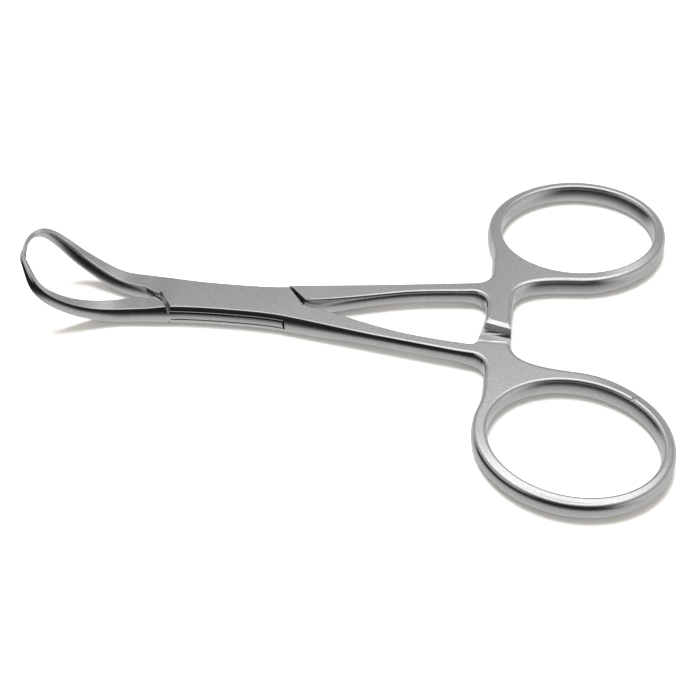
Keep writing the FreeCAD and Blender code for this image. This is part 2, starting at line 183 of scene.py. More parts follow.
def corner_blend(start: Vector, corner: Vector, end: Vector, pulls: tuple[float, float]) -> Path:
    """A curve that leaves toward a corner and arrives from it.

    Args:
        start: Where it starts.
        corner: The corner.
        end: Where it ends.
        pulls: How far each side reaches toward the corner.

    Returns:
        Points along the curve.
    """
    first, second = start.lerp(corner, pulls[0]), end.lerp(corner, pulls[1])
    points = []
    for share in spread(0, 1, BLEND_POINTS):
        rest = 1 - share
        points.append(start * rest**3 + first * 3 * rest**2 * share
                      + second * 3 * rest * share**2 + end * share**3)
    return points


def out_of(path: Path, closed: bool = False) -> Path:
    """Directions that point out of a path travelled counterclockwise.

    Args:
        path: Points in plan.
        closed: Whether the path closes on itself.

    Returns:
        A direction for each point.
    """
    count = len(path)
    directions = []
    for number in range(count):
        if closed:
            way = path[(number + 1) % count] - path[number - 1]
        else:
            way = path[min(number + 1, count - 1)] - path[max(number - 1, 0)]
        way.normalize()
        directions.append(flat(way.y, -way.x))
    return directions


def slid(point: Vector, out: Vector, along: Vector, offset: float) -> Vector:
    """Moves an end of a side along the flat end beside it.

    Args:
        point: The end of the side.
        out: Direction out of the side.
        along: Direction of the flat end.
        offset: How far the side moves out.

    Returns:
        The moved point.
    """
    return point + along * (offset / along.dot(out))


def smooth_line(points: list[Vector], count: int) -> tuple[np.ndarray, np.ndarray]:
    """A smooth curve through points, at even distances.

    Args:
        points: The points.
        count: How many places are wanted.

    Returns:
        Places along the curve, and its directions there.
    """
    knots = np.array([tuple(point) for point in points])
    at = np.concatenate(([0], np.cumsum(np.linalg.norm(np.diff(knots, axis=0), axis=1))))
    steps = np.diff(at)[:, None]
    slopes = np.diff(knots, axis=0) / steps
    size = len(knots)
    matrix, right = np.eye(size), np.zeros((size, 3))
    for row in range(1, size - 1):
        before, after = steps[row - 1, 0], steps[row, 0]
        matrix[row, row - 1:row + 2] = before, 2 * (before + after), after
        right[row] = 6 * (slopes[row] - slopes[row - 1])
    bends = np.linalg.solve(matrix, right)

    def place(where: np.ndarray) -> np.ndarray:
        """Places on the curve, at distances along the line through its points."""
        span = np.clip(np.searchsorted(at, where) - 1, 0, size - 2)
        step = steps[span]
        left, rest = (where - at[span])[:, None], (at[span + 1] - where)[:, None]
        cubic = (bends[span] * rest**3 + bends[span + 1] * left**3) / (6 * step)
        return (cubic + (knots[span] / step - bends[span] * step / 6) * rest
                + (knots[span + 1] / step - bends[span + 1] * step / 6) * left)

    fine = np.linspace(0, at[-1], CURVE_POINTS)
    line = place(fine)
    run = np.concatenate(([0], np.cumsum(np.linalg.norm(np.diff(line, axis=0), axis=1))))
    where = np.interp(np.linspace(0, run[-1], count), run, fine)
    nudge = at[-1] * 1e-4
    ahead, behind = np.minimum(where + nudge, at[-1]), np.maximum(where - nudge, 0)
    ways = place(ahead) - place(behind)
    return place(where), ways / np.linalg.norm(ways, axis=1)[:, None]


def to_piece(name: str, shape: bmesh.types.BMesh) -> bpy.types.Object:
    """Turns a shape into an object, with its faces outward.

    Args:
        name: The object's name.
        shape: The shape, which is freed.

    Returns:
        The object.
    """
    bmesh.ops.recalc_face_normals(shape, faces=shape.faces)
    mesh = bpy.data.meshes.new(name)
    shape.to_mesh(mesh)
    shape.free()
    piece = bpy.data.objects.new(name, mesh)
    bpy.context.collection.objects.link(piece)
    return piece


class Shell:
    """A closed skin of stacked outlines, with flat top and bottom faces."""

    def __init__(self) -> None:
        """Starts with no walls."""
        self.shape = bmesh.new()
        self.tops: list[list[bmesh.types.BMVert]] = []
        self.bottoms: list[list[bmesh.types.BMVert]] = []

    def wall(self, columns: list[list[Vector]]) -> None:
        """Adds a closed wall.

        Args:
            columns: For each place round the wall, its points from top to bottom.
        """
        rows = [[self.shape.verts.new(point * MM) for point in column] for column in columns]
        for column, following in zip(rows, rows[1:] + rows[:1]):
            for level in range(len(column) - 1):
                corners = (column[level], column[level + 1],
                           following[level + 1], following[level])
                self.shape.faces.new(corners)
        self.tops.append([column[0] for column in rows])
        self.bottoms.append([column[-1] for column in rows])

    def close(self) -> None:
        """Adds the faces that close the walls above and below."""
        for loops in (self.tops, self.bottoms):
            corners = [corner for loop in loops for corner in loop]
            places = [[corner.co.xy.to_3d() for corner in loop] for loop in loops]
            for triangle in tessellate_polygon(places):
                face = self.shape.faces.new([corners[number] for number in triangle])
                face.material_index = FLAT
        flats = [face for face in self.shape.faces if face.material_index == FLAT]
        inner = [edge for edge in {edge for face in flats for edge in face.edges}
                 if all(face.material_index == FLAT for face in edge.link_faces)]
        bmesh.ops.beautify_fill(self.shape, faces=flats, edges=inner)

    def follow_slopes(self) -> None:
        """Slices the flat faces across, so that they follow the slopes of the shanks."""
        at_shank = spread(BOX.flat_reach, RING.bend_x, 36)
        at_tine = spread(TINE.slope_x, -BOX.flat_reach, 7)
        for x in at_shank + at_tine:
            everything = self.shape.verts[:] + self.shape.edges[:] + self.shape.faces[:]
            bmesh.ops.bisect_plane(self.shape, geom=everything, dist=1e-9,
                                   plane_co=(x * MM, 0, 0), plane_no=(1, 0, 0))
        hole = RING.hole_path()
        flats = {corner for face in self.shape.faces if face.material_index == FLAT
                 for corner in face.verts}
        for corner in flats:
            top, bottom = face_heights(corner.co.x / MM)
            drop = RING.drop(corner.co.x / MM, corner.co.y / MM, hole)
            corner.co.z = (top - drop if corner.co.z > MIDDLE * MM else bottom + drop) * MM

    def to_object(self, name: str) -> bpy.types.Object:
        """Turns the skin into an object of that name."""
        return to_piece(name, self.shape)


def prism(name: str, corners: Path, bottom: float, top: float) -> bpy.types.Object:
    """A straight-sided solid over a polygon in plan.

    Args:
        name: The object's name.
        corners: The polygon.
        bottom: Height of its bottom.
        top: Height of its top.

    Returns:
        The object.
    """
    shell = Shell()
    shell.wall([[Vector((c.x, c.y, top)), Vector((c.x, c.y, bottom))] for c in corners])
    shell.close()
    return shell.to_object(name)


def extruded(name: str, outline: list[Vector], along: Vector) -> bpy.types.Object:
    """A straight-sided solid over any flat polygon.

    Args:
        name: The object's name.
        outline: The polygon.
        along: How far and which way it is drawn out.

    Returns:
        The object.
    """
    shape = bmesh.new()
    near = [shape.verts.new(point * MM) for point in outline]
    far = [shape.verts.new((point + along) * MM) for point in outline]
    shape.faces.new(near)
    shape.faces.new(far)
    count = len(near)
    for number in range(count):
        following = (number + 1) % count
        shape.faces.new((near[number], near[following], far[following], far[number]))
    return to_piece(name, shape)


def edge_cutter(name: str, ends: tuple[Vector, Vector], side: int, top: float,
                profile: Profile, widening: float = 0.0) -> bpy.types.Object:
    """A cutter that follows a straight edge in plan.

    Args:
        name: The object's name.
        ends: Where the edge starts and ends.
        side: +1 where the metal is to the left of the edge, -1 where it is to the right.
        top: Height that the profile is measured from.
        profile: The cutter's section: distances into the metal, and heights.
        widening: How much further it reaches into the metal at its end.

    Returns:
        The cutter.
    """
    start, end = ends
    way = (end - start).normalized()
    inward = flat(-way.y, way.x) * side
    outline = [start + inward * back + Vector((0, 0, top + up)) for back, up in profile]
    return extruded(name, outline, end - start + inward * widening)


@dataclass(frozen=True)
class EndLine:
    """A slanted end: end is +1 at the shank and -1 at the tine."""

    end: int
    reach: float
    angle: float

    def x_at(self, y: float) -> float:
        """Place of the line along the clamp, at a distance across it."""
        turn = math.radians(self.angle)
        return self.end * (self.reach + self.end * y * math.sin(turn)) / math.cos(turn)

    def at(self, y: float) -> Vector:
        """The line's point at a distance across the clamp."""
        return flat(self.x_at(y), y)

    def meets(self, edge_y: Callable[[float], float]) -> Vector:
        """The point where the line meets an edge.

        Args:
            edge_y: The edge, as its distance across the clamp at each place along it.

        Returns:
            The point.
        """
        x = self.end * self.reach
        for _ in range(MEETING_STEPS):
            x = self.x_at(edge_y(x))
        return flat(x, edge_y(x))


@dataclass(frozen=True)
class BoxLock:
    """The box, its slot and the shoulders of the tongue, in millimetres and degrees."""

    thickness: float = 4.108
    flat_reach: float = 9.0
    waist_width: float = 5.8
    end_width: float = 6.7
    end_x: float = 10.1
    bulge: float = 0.42
    fullness: float = 0.05
    edge_pull: float = 0.6
    side_pull: float = 0.68
    tine_end: tuple[float, float] = (10.05, 34.0)
    shank_end: tuple[float, float] = (9.45, 42.0)
    slot_reach: float = 9.9
    slot_angle: float = 42.0
    slot_height: float = 1.45
    mouth_gap: float = 0.18
    lip_height: float = 0.28
    lip_depth: float = 0.12
    lip_middle: float = 0.8
    tongue_recess: float = 0.05
    recess_places: tuple[float, float, float, float] = (-9.4, -8.6, 8.8, 9.4)
    face_gap: float = 0.05
    end_gap: float = 0.15
    shoulder_angle: float = 46.5
    shoulder_gap: float = 0.15
    tine_gap: float = 0.30
    shoulder_step: float = 0.3
    shoulder_reach: float = 5.0
    shoulder_profile: Profile = ((0.32, 0.0), (-0.6, 0.0), (-0.6, -1.25), (0.0, -1.25))
    slope_span: tuple[float, float] = (5.0, 0.1)
    slope_profile: Profile = ((0.50, 0.0), (-0.6, 0.0), (-0.6, -1.15), (0.0, -1.15))
    crotch_span: tuple[float, float] = (-2.4, 0.45)
    crotch_profile: Profile = ((0.02, 0.0), (-1.0, 0.0), (-1.0, -0.9))
    crotch_widening: float = 0.5

    def cut_top(self) -> float:
        """Height that the cutters of the top face start from."""
        return MIDDLE + self.thickness / 2 + CLEAR

    def plate_end(self, end: int) -> EndLine:
        """An end of the plates: +1 at the shank, -1 at the tine."""
        reach, angle = self.shank_end if end > 0 else self.tine_end
        return EndLine(end, reach, angle)

    def tongue_end(self, end: int) -> EndLine:
        """An end of the tongue: +1 at the shank, -1 at the tine."""
        return EndLine(end, self.slot_reach - self.end_gap, self.slot_angle)

    def shoulder(self, end: int) -> EndLine:
        """A shoulder of the male half, as the female half is drawn.

        Args:
            end: +1 at the shank, -1 at the tine.

        Returns:
            The line.
        """
        corner = self.plate_end(end).meets(lambda x: -end * outer_y(x))
        turn = math.radians(self.shoulder_angle)
        reach = abs(corner.x) * math.cos(turn) + abs(corner.y) * math.sin(turn)
        gap = self.shoulder_gap if end > 0 else self.tine_gap
        return EndLine(end, reach + gap, self.shoulder_angle)

    def slot_cutter(self) -> bpy.types.Object:
        """The slot through the box.

        Returns:
            The cutter.
        """
        turn = math.radians(self.slot_angle)
        along, across = flat(math.cos(turn), math.sin(turn)), flat(-math.sin(turn), math.cos(turn))
        half, long = self.slot_reach + self.mouth_gap, 2 * self.slot_reach
        corners = [along * -half + across * -long, along * half + across * -long,
                   along * half + across * long, along * -half + across * long]
        height = self.slot_height / 2 + self.mouth_gap
        return prism("slot_cutter", corners, MIDDLE - height, MIDDLE + height)

    def slot_lip(self, side: int) -> bpy.types.Object:
        """The small step along the upper edge of the slot's mouth.

        Args:
            side: +1 or -1, the side of the box.

        Returns:
            The cutter.
        """
        turn = math.radians(self.slot_angle)
        reach = self.slot_reach / math.cos(turn)
        stand = bulge_at(MIDDLE + self.lip_middle) - self.lip_depth
        corners = []
        for place in spread(-reach, reach, LIP_POINTS):
            x = place - side * math.tan(turn) * outer_y(place)
            corners.append(flat(x, side * (outer_y(x) + stand)))
        corners += [flat(corners[-1].x, side * PAST), flat(corners[0].x, side * PAST)]
        bottom = MIDDLE + self.slot_height / 2
        top = bottom + self.mouth_gap + self.lip_height
        return prism("slot_lip", corners if side < 0 else corners[::-1], bottom, top)

    def shoulder_relief(self, name: str, bottom: float, top: float) -> bpy.types.Object:
        """Room for one plate of the box between the male half's shoulders.

        Args:
            name: The cutter's name.
            bottom: Height of its bottom.
            top: Height of its top.

        Returns:
            The cutter.
        """
        at_tine, at_shank = self.shoulder(-1), self.shoulder(1)
        inner_y = -TINE.inner_y
        step_y = inner_y - self.shoulder_step
        tongue_corner = flat(TINE.seat - TINE.root_x(), inner_y)
        tine_clear = tongue_corner + flat(-0.8 * TINE.seat, 1.5 * TINE.seat)
        crotch = at_shank.meets(lambda x: -SHANK.inner_y(x))
        past_x = SHANK.root_x + PAST / 2
        corners = [
            flat(at_tine.x_at(PAST), -PAST), flat(at_tine.x_at(-step_y), step_y), tongue_corner,
            tine_clear, flat(tine_clear.x, PAST), flat(at_shank.x_at(-PAST), PAST),
            flat(crotch.x, -crotch.y), flat(past_x, -crotch.y), flat(past_x, -PAST),
        ]
        return prism(name, corners, bottom, top)

    def shoulder_slope(self) -> bpy.types.Object:
        """The slope on the upper shoulder of the male half beside the shank.

        Returns:
            The cutter.
        """
        line, reach = self.shoulder(1), self.shoulder_reach
        ends = flat(line.x_at(reach), -reach), flat(line.x_at(-reach), reach)
        return edge_cutter("shoulder_slope", ends, -1, self.cut_top(), self.shoulder_profile)

    def plate_slope(self) -> bpy.types.Object:
        """The slope on the upper plate's end beside the tines.

        Returns:
            The cutter.
        """
        line = self.plate_end(-1)
        ends = line.at(self.slope_span[0]), line.at(self.slope_span[1])
        return edge_cutter("plate_end_slope", ends, 1, self.cut_top(), self.slope_profile)

    def crotch_chamfer(self) -> bpy.types.Object:
        """The chamfer on the upper plate, along the crotch beside the shank.

        Returns:
            The cutter.
        """
        line = self.plate_end(1)
        ends = line.at(self.crotch_span[0]), line.at(self.crotch_span[1])
        return edge_cutter("plate_end_chamfer", ends, 1, self.cut_top(), self.crotch_profile,
                           self.crotch_widening)


@dataclass(frozen=True)
class Shank:
    """The shanks, in millimetres and degrees."""

    flare_angle: float = 7.9
    root_x: float = 12.2
    root_width: float = 3.05
    waist_width: float = 1.25
    waist_x: float = 32.5
    end_width: float = 1.4
    end_x: float = 38.5
    thickness: float = 2.6
    top_drop: float = 0.35
    thin_x: float = 27.0
    male_stand: float = 0.25
    least_stand: float = 0.2

    def inner_y(self, x: float) -> float:
        """Distance of a shank's inner edge from the axis.

        Args:
            x: Place along the clamp.

        Returns:
            The distance.
        """
        waist = self.waist_width
        if x > self.waist_x:
            share = (x - self.waist_x) / (self.end_x - self.waist_x)
            return outer_y(x) - waist - (self.end_width - waist) * share**2
        share = max(0.0, (x - self.root_x) / (self.waist_x - self.root_x))
        return outer_y(x) - waist - (self.root_width - waist) * (1 - share**2 * (3 - 2 * share))


@dataclass(frozen=True)
class Ring:
    """The finger rings, in millimetres and degrees."""

    overhang: float = 1.3
    near_y: float = 10.3
    half_length: float = 15.1
    half_width: float = 12.45
    tilt: float = 7.5
    band: float = 1.35
    hole_shift: float = 0.2
    thickness: float = 3.7
    slope: float = 0.19
    slope_reach: float = 2.2
    slope_limit: float = 4.0
    slope_turns: Profile = ((135, 1.0), (178, 0.0), (280, 0.0), (325, 1.0))
    hole_round: float = 0.28
    bend_x: float = 43.5
    joins_arm: float = 265.0
    joins_web: float = 190.0
    nick_place: tuple[float, float] = (67.35, 14.85)
    nick_way: tuple[float, float] = (0.94, -0.34)
    nick_length: float = 1.8
    nick_profile: Profile = ((-0.55, 0.3), (0.0, -0.45), (0.55, 0.3))

    def centre(self) -> Vector:
        """Middle of a ring's outer oval."""
        x = ARM.web_left_x - self.overhang + self.half_length
        return flat(x, self.near_y + self.half_width)

    def oval(self, centre: Vector, length: float, width: float, degrees: float) -> Vector:
        """A point of a tilted oval.

        Args:
            centre: Middle of the oval.
            length: Half its length.
            width: Half its width.
            degrees: Place round the oval.

        Returns:
            The point.
        """
        turn, tilt = math.radians(degrees), math.radians(self.tilt)
        x, y = length * math.cos(turn), width * math.sin(turn)
        return centre + flat(x * math.cos(tilt) - y * math.sin(tilt),
                             x * math.sin(tilt) + y * math.cos(tilt))

    def point(self, degrees: float) -> Vector:
        """A point of the ring's outer oval, at a place round it."""
        return self.oval(self.centre(), self.half_length, self.half_width, degrees)

    def way(self, degrees: float) -> Vector:
        """The outer oval's direction, at a place round it."""
        return self.point(degrees + 0.5) - self.point(degrees - 0.5)

    def hole_path(self) -> Path:
        """The edge of the finger hole in plan.

        Returns:
            Points round the hole.
        """
        centre = self.centre() + flat(self.hole_shift, self.hole_shift)
        length, width = self.half_length - self.band, self.half_width - self.band
        turns = spread(0, 360 * (1 - 1 / HOLE_POINTS), HOLE_POINTS)
        return [self.oval(centre, length, width, -degrees) for degrees in turns]

    def drop(self, x: float, y: float, hole: Path) -> float:
        """How far the ring's face has sloped down outside the finger hole.

        Args:
            x: Place along the clamp.
            y: Place across the clamp.
            hole: The edge of the finger hole.

        Returns:
            The distance.
        """
        reach = min(math.hypot(x - edge.x, y - edge.y) for edge in hole)
        if reach > self.slope_limit:
            return 0.0
        centre = self.centre()
        turn = math.degrees(math.atan2(y - centre.y, x - centre.x)) % 360
        sloped = max(0.0, min(reach, self.slope_reach) - self.hole_round)
        return self.slope * sloped * eased(turn, self.slope_turns)

    def hole_columns(self) -> list[Path]:
        """The finger hole's wall as columns of points.

        Returns:
            For each place round the hole, its points from top to bottom.
        """
        path = self.hole_path()
        columns = []
        for point, out in zip(path, out_of(path, closed=True)):
            top, bottom = face_heights(point.x)
            column = []
            for offset, z in side_profile(top, bottom, self.hole_round):
                moved = point + out * offset
                column.append(Vector((moved.x, moved.y, z)))
            columns.append(column)
        return columns

    def nick(self) -> bpy.types.Object:
        """The small nick in the inner edge of a ring's far arc.

        Returns:
            The cutter.
        """
        middle, reach = flat(*self.nick_place), flat(*self.nick_way) * (self.nick_length / 2)
        ends = middle - reach, middle + reach
        return edge_cutter("ring_nick", ends, 1, MIDDLE + self.thickness / 2, self.nick_profile)


@dataclass(frozen=True)
class Arm:
    """The webs and ratchet arms, in millimetres."""

    web_left_x: float = 44.35
    web_fillet: float = 3.1
    left_x: float = 43.9
    width: float = 3.5
    end_y: float = 2.6
    end_slant: float = 0.9
    fillet: float = 5.2
    ring_pulls: tuple[float, float] = (0.86, 0.63)
    web_pulls: tuple[float, float] = (0.6, 0.6)
    step_y: float = 5.0
    face_gap: float = 0.03
    male_corner: float = 3.0
    female_corner: float = 1.5
    female_widening: float = 1.2
    tooth_count: int = 8
    tooth_pitch: float = 0.62
    tooth_depth: float = 0.5
    tooth_slope: float = 0.2
    tooth_root: float = 0.2
    chamfer_profile: Profile = ((1.45, 0.02), (0.72, -0.33), (-0.05, -2.0), (-0.6, -2.0),
                                (-0.6, 0.5), (1.45, 0.5))
    undercut_profile: Profile = ((-0.6, -2.6), (-0.6, -1.25), (0.1, -1.3), (1.2, -1.9),
                                 (1.2, -2.6))
    groove_reach: float = 3.2
    groove_past: float = 1.0
    groove_profile: Profile = ((0.0, 0.3), (0.0, 0.01), (0.42, -0.15), (0.78, 0.01), (0.78, 0.3))

    def recess(self, name: str, lower_half: bool) -> bpy.types.Object:
        """Room for the other half's ratchet arm.

        Args:
            name: The cutter's name.
            lower_half: Whether the lower part of the arm goes.

        Returns:
            The cutter.
        """
        left, right = self.left_x - self.male_corner, self.left_x + self.width + self.male_corner
        low, high = -2 * self.end_y, self.step_y
        corners = [flat(left, low), flat(right, low), flat(right, high), flat(left, high)]
        if lower_half:
            return prism(name, corners, -PAST, MIDDLE + self.face_gap)
        return prism(name, corners, MIDDLE - self.face_gap, PAST)

    def tooth_gaps(self, name: str, into: int) -> bpy.types.Object:
        """The gaps between ratchet teeth.

        Args:
            name: The cutter's name.
            into: +1 where the arm is above its free face, -1 where it is below.

        Returns:
            The cutter.
        """
        left, face_z = self.left_x - self.male_corner, MIDDLE + into * self.face_gap
        outline = [Vector((left, -self.end_y, face_z - into * self.tooth_root))]
        for tooth in range(self.tooth_count):
            start = tooth * self.tooth_pitch - self.end_y
            root_z = face_z + into * self.tooth_depth
            outline.append(Vector((left, start + self.tooth_slope, root_z)))
            outline.append(Vector((left, start + self.tooth_pitch, face_z)))
        outline.append(outline[-1] - Vector((0, 0, into * self.tooth_root)))
        return extruded(name, outline, flat(self.width + 2 * self.male_corner, 0))

    def end_cutter(self, name: str, profile: Profile) -> bpy.types.Object:
        """A cutter along the slanted end of the upper arm.

        Args:
            name: The cutter's name.
            profile: Its section: distances into the arm, and heights from its top.

        Returns:
            The cutter.
        """
        left = flat(self.left_x, self.end_slant - self.end_y)
        along = flat(self.left_x + self.width, -self.end_y) - left
        ends = left - along, left + along * 2
        return edge_cutter(name, ends, 1, face_heights(self.left_x)[0], profile)

    def step_groove(self) -> bpy.types.Object:
        """The shallow groove beside the step of the lower ratchet arm.

        Returns:
            The cutter.
        """
        left, top = self.left_x - self.groove_reach, face_heights(self.left_x)[0]
        right = self.left_x + self.width + self.groove_past
        ends = flat(left, self.step_y), flat(right, self.step_y)
        return edge_cutter("step_groove", ends, 1, top, self.groove_profile)


@dataclass(frozen=True)
class Tine:
    """The tines, in millimetres, degrees and radians.

    A course lists places along a tine's middle line: shares of its length, of its bow and
    of its rise. A hook is the course's end, with distances past the axis for the bow.
    """

    flare_angle: float = 6.0
    inner_y: float = 1.32
    root_thickness: float = 3.3
    seat: float = 0.4
    slope_x: float = -14.6
    reach: float = 33.95
    bow: float = 5.85
    rise: float = 10.45
    tip_width: float = 0.34
    tip_thickness: float = 0.42
    width_fall: float = 1.6
    thickness_fall: float = 2.2
    point_start: float = 0.35
    point_length: float = 0.05
    edge_round: float = 0.10
    greatest_lean: float = 0.70
    stations: int = 90
    course: Course = ((0.26, 0.28, 0.00), (0.49, 0.67, 0.13), (0.70, 0.98, 0.38),
                      (0.85, 0.97, 0.71))

    def root_x(self) -> float:
        """Distance of a tine's root from the pivot."""
        return self.seat - BOX.tongue_end(-1).x_at(-self.inner_y)

    def middle_line(self, hook: Course) -> list[Vector]:
        """Places along the middle of a tine.

        Args:
            hook: Its last places, where it bends towards the other tine.

        Returns:
            Places from its root to its point.
        """
        root_y = (outer_y(-self.root_x()) + self.inner_y) / 2
        places = [(s, -root_y - (self.bow - root_y) * aside, up) for s, aside, up in self.course]
        run = self.reach - self.root_x()
        points = [Vector((-self.root_x(), -root_y, MIDDLE))]
        for share, y, rise in places + list(hook):
            points.append(Vector((-self.root_x() - run * share, y, MIDDLE + self.rise * rise)))
        return points

    def section(self, share: float) -> list[tuple[float, float]]:
        """The outline across a tine.

        Args:
            share: Place along the tine, from 0 at its root to 1 at its point.

        Returns:
            Distances across the tine and heights.
        """
        root_width = outer_y(-self.root_x()) - self.inner_y
        width = self.tip_width + (root_width - self.tip_width) * (1 - share) ** self.width_fall
        fall = 1 - share**self.thickness_fall
        thickness = self.tip_thickness + (self.root_thickness - self.tip_thickness) * fall
        rest = (1 - self.point_start) * (1 - share) / self.point_length
        point = min(1.0, self.point_start + rest)
        half, scale = self.root_thickness / 2, thickness * point / self.root_thickness
        profile = side_profile(MIDDLE + half, MIDDLE - half, self.edge_round)
        right = [(width * point / 2 + out * scale, (z - MIDDLE) * scale) for out, z in profile]
        return right + [(-out, up) for out, up in reversed(right)]

    def build(self, name: str, hook: Course) -> bpy.types.Object:
        """A curved tine that tapers to its point.

        Args:
            name: The object's name.
            hook: Its last places, where it bends towards the other tine.

        Returns:
            The object.
        """
        shape = bmesh.new()
        loops = []
        lean = 0.0
        places, ways = smooth_line(self.middle_line(hook), self.stations)
        for number, (place, way) in enumerate(zip(places, ways)):
            forward = Vector(way) if number else Vector((-1, 0, 0))
            slope = math.atan2(max(forward.z, 0.0), max(-forward.x, 0.01))
            lean = max(lean, min(slope, self.greatest_lean))
            lift = Vector((math.sin(lean), 0, math.cos(lean)))
            lift = (lift - forward * lift.dot(forward)).normalized()
            across = forward.cross(lift).normalized()
            section = self.section(number / (self.stations - 1))
            loops.append([shape.verts.new((Vector(place) + across * out + lift * up) * MM)
                          for out, up in section])
        flats = (len(section) // 2 - 1, len(section) - 1)
        for loop, following in zip(loops, loops[1:]):
            for number in range(len(loop)):
                after = (number + 1) % len(loop)
                corners = (loop[number], loop[after], following[after], following[number])
                shape.faces.new(corners).material_index = FLAT if number in flats else 0
        shape.faces.new(loops[0])
        shape.faces.new(loops[-1])
        return to_piece(name, shape)


BOX = BoxLock()
SHANK = Shank()
RING = Ring()
ARM = Arm()
TINE = Tine()


def outer_y(x: float) -> float:
    """Distance of a half's outer edge from the axis.

    Args:
        x: Place along the clamp.

    Returns:
        The distance.
    """
    waist, end = BOX.waist_width / 2, BOX.end_width / 2
    flare = math.tan(math.radians(SHANK.flare_angle if x > 0 else TINE.flare_angle))
    share = abs(x) / BOX.end_x
    if share > 1:
        return end + flare * (abs(x) - BOX.end_x)
    rise = (end - waist) * share**2 * (3 - 2 * share)
    return waist + rise - flare * BOX.end_x * share**2 * (1 - share)


@dataclass(frozen=True)
class HalfForm:
    """What differs between the outlines of the two halves."""

    tine_end: EndLine
    shank_end: EndLine
    tine_start_y: float
    shank_start_x: float
    shank_stand: float
    arm_corner: float
    arm_widening: float

    def lower_side(self) -> Path:
        """Outer edge from the tine's root to the box end at the shank."""
        corner = self.shank_end.meets(lambda x: -outer_y(x))
        return [flat(x, -outer_y(x)) for x in spread(-TINE.root_x(), corner.x, SIDE_POINTS)]

    def inner_side(self) -> Path:
        """Inner edge of the shank and the left edge of the arm.

        Returns:
            Points from the box end to the arm's end.
        """
        start = self.shank_end.meets(SHANK.inner_y)
        places = spread(start.x, SHANK.end_x, SIDE_POINTS)
        shank = [flat(x, SHANK.inner_y(x)) for x in places]
        arm_end = flat(ARM.left_x, ARM.end_slant - ARM.end_y)
        arm_root = flat(ARM.left_x - self.arm_widening, ARM.step_y)
        corner = crossing(shank[-1], shank[-1] - shank[-2], arm_end, arm_root - arm_end)
        arc = corner_arc(shank[-1], corner, arm_end, self.arm_corner)
        straight = [arc[-1].lerp(arm_end, share) for share in spread(0, 1, 6)[1:]]
        return shank + arc + straight

    def ring_side(self) -> Path:
        """Right edge of the arm, round the ring and back along the shank and box.

        Returns:
            Points from the arm's end to the box end at the tine.
        """
        arm_x = ARM.left_x + ARM.width
        first, last = RING.joins_arm, 360 + RING.joins_web
        start, end = RING.point(first), RING.point(last)
        arm_corner = crossing(start, RING.way(first), flat(arm_x, 0), flat(0, 1))
        arm_top = arm_corner - flat(0, ARM.fillet)
        ring = [RING.point(angle) for angle in spread(first, last, RING_POINTS)]
        web_corner = crossing(end, RING.way(last), flat(ARM.web_left_x, 0), flat(0, 1))
        web_top = web_corner - flat(0, (web_corner - end).length)
        web_foot = flat(ARM.web_left_x, outer_y(ARM.web_left_x))
        start_x, stand = self.shank_start_x, self.shank_stand
        shank_start = flat(start_x, outer_y(start_x) + stand)
        fillet = corner_arc(web_top, web_foot, shank_start, ARM.web_fillet)
        tine_corner = self.tine_end.meets(outer_y)
        arm_bottom = flat(arm_x, -ARM.end_y)
        arm = [arm_bottom.lerp(arm_top, share) for share in spread(0, 1, 5)[:-1]]
        shank = [fillet[-1].lerp(shank_start, share) for share in spread(0, 1, 30)[1:]]
        box_x = start_x - max(stand, SHANK.least_stand)
        box = [flat(x, outer_y(x)) for x in spread(box_x, tine_corner.x, 34)]
        arm_blend = corner_blend(arm_top, arm_corner, start, ARM.ring_pulls)
        web_blend = corner_blend(end, web_corner, web_top, ARM.web_pulls)
        return arm + arm_blend + ring[1:] + web_blend[1:] + fillet + shank + box

    def tine_side(self) -> Path:
        """Inner edge on the tine's side.

        Returns:
            Points from the box end to the tine's root.
        """
        start = flat(self.tine_end.x_at(self.tine_start_y), self.tine_start_y)
        end = flat(-TINE.root_x(), -TINE.inner_y)
        return [start.lerp(end, share) for share in spread(0, 1, 6)]

    def sides(self) -> list[Path]:
        """The four convex sides, in order round the outline."""
        return [self.lower_side(), self.inner_side(), self.ring_side(), self.tine_side()]


def face_heights(x: float) -> tuple[float, float]:
    """Heights of the top and bottom faces.

    Args:
        x: Place along the clamp.

    Returns:
        The height of the top face and of the bottom face.
    """
    root, half_tine, half_ring = -TINE.root_x(), TINE.root_thickness / 2, RING.thickness / 2
    half = BOX.thickness / 2
    shank_top = MIDDLE + half - SHANK.top_drop
    tops = (MIDDLE + half_tine, MIDDLE + half, shank_top, MIDDLE + half_ring)
    shank_bottom = shank_top - SHANK.thickness
    bottoms = (MIDDLE - half_tine, MIDDLE - half, shank_bottom, MIDDLE - half_ring)

    def along(heights: tuple[float, ...]) -> float:
        """The height here, from those of the tine, the box, the shank and the ring."""
        tine, box, shank, ring = heights
        return eased(x, [(root, tine), (-BOX.flat_reach, box), (BOX.flat_reach, box),
                         (SHANK.thin_x, shank), (SHANK.end_x, shank), (RING.bend_x, ring)])

    return along(tops), along(bottoms)


def bulge_at(z: float) -> float:
    """How far the sides stand out at the height of a face.

    Args:
        z: The height.

    Returns:
        The distance.
    """
    return BOX.bulge * (1 - ((z - MIDDLE) / MIDDLE) ** 2)


# How far the rounding of the edges reaches into a face: places along the clamp and distances
EDGE_ROUNDING = ((-9.0, 0.10), (14.0, 0.10), (30.0, 0.16), (40.0, 0.24), (47.0, 0.46))


def edge_round(x: float) -> float:
    """How far the rounding of the edges reaches into a face.

    Args:
        x: Place along the clamp.

    Returns:
        The distance.
    """
    return eased(x, EDGE_ROUNDING)


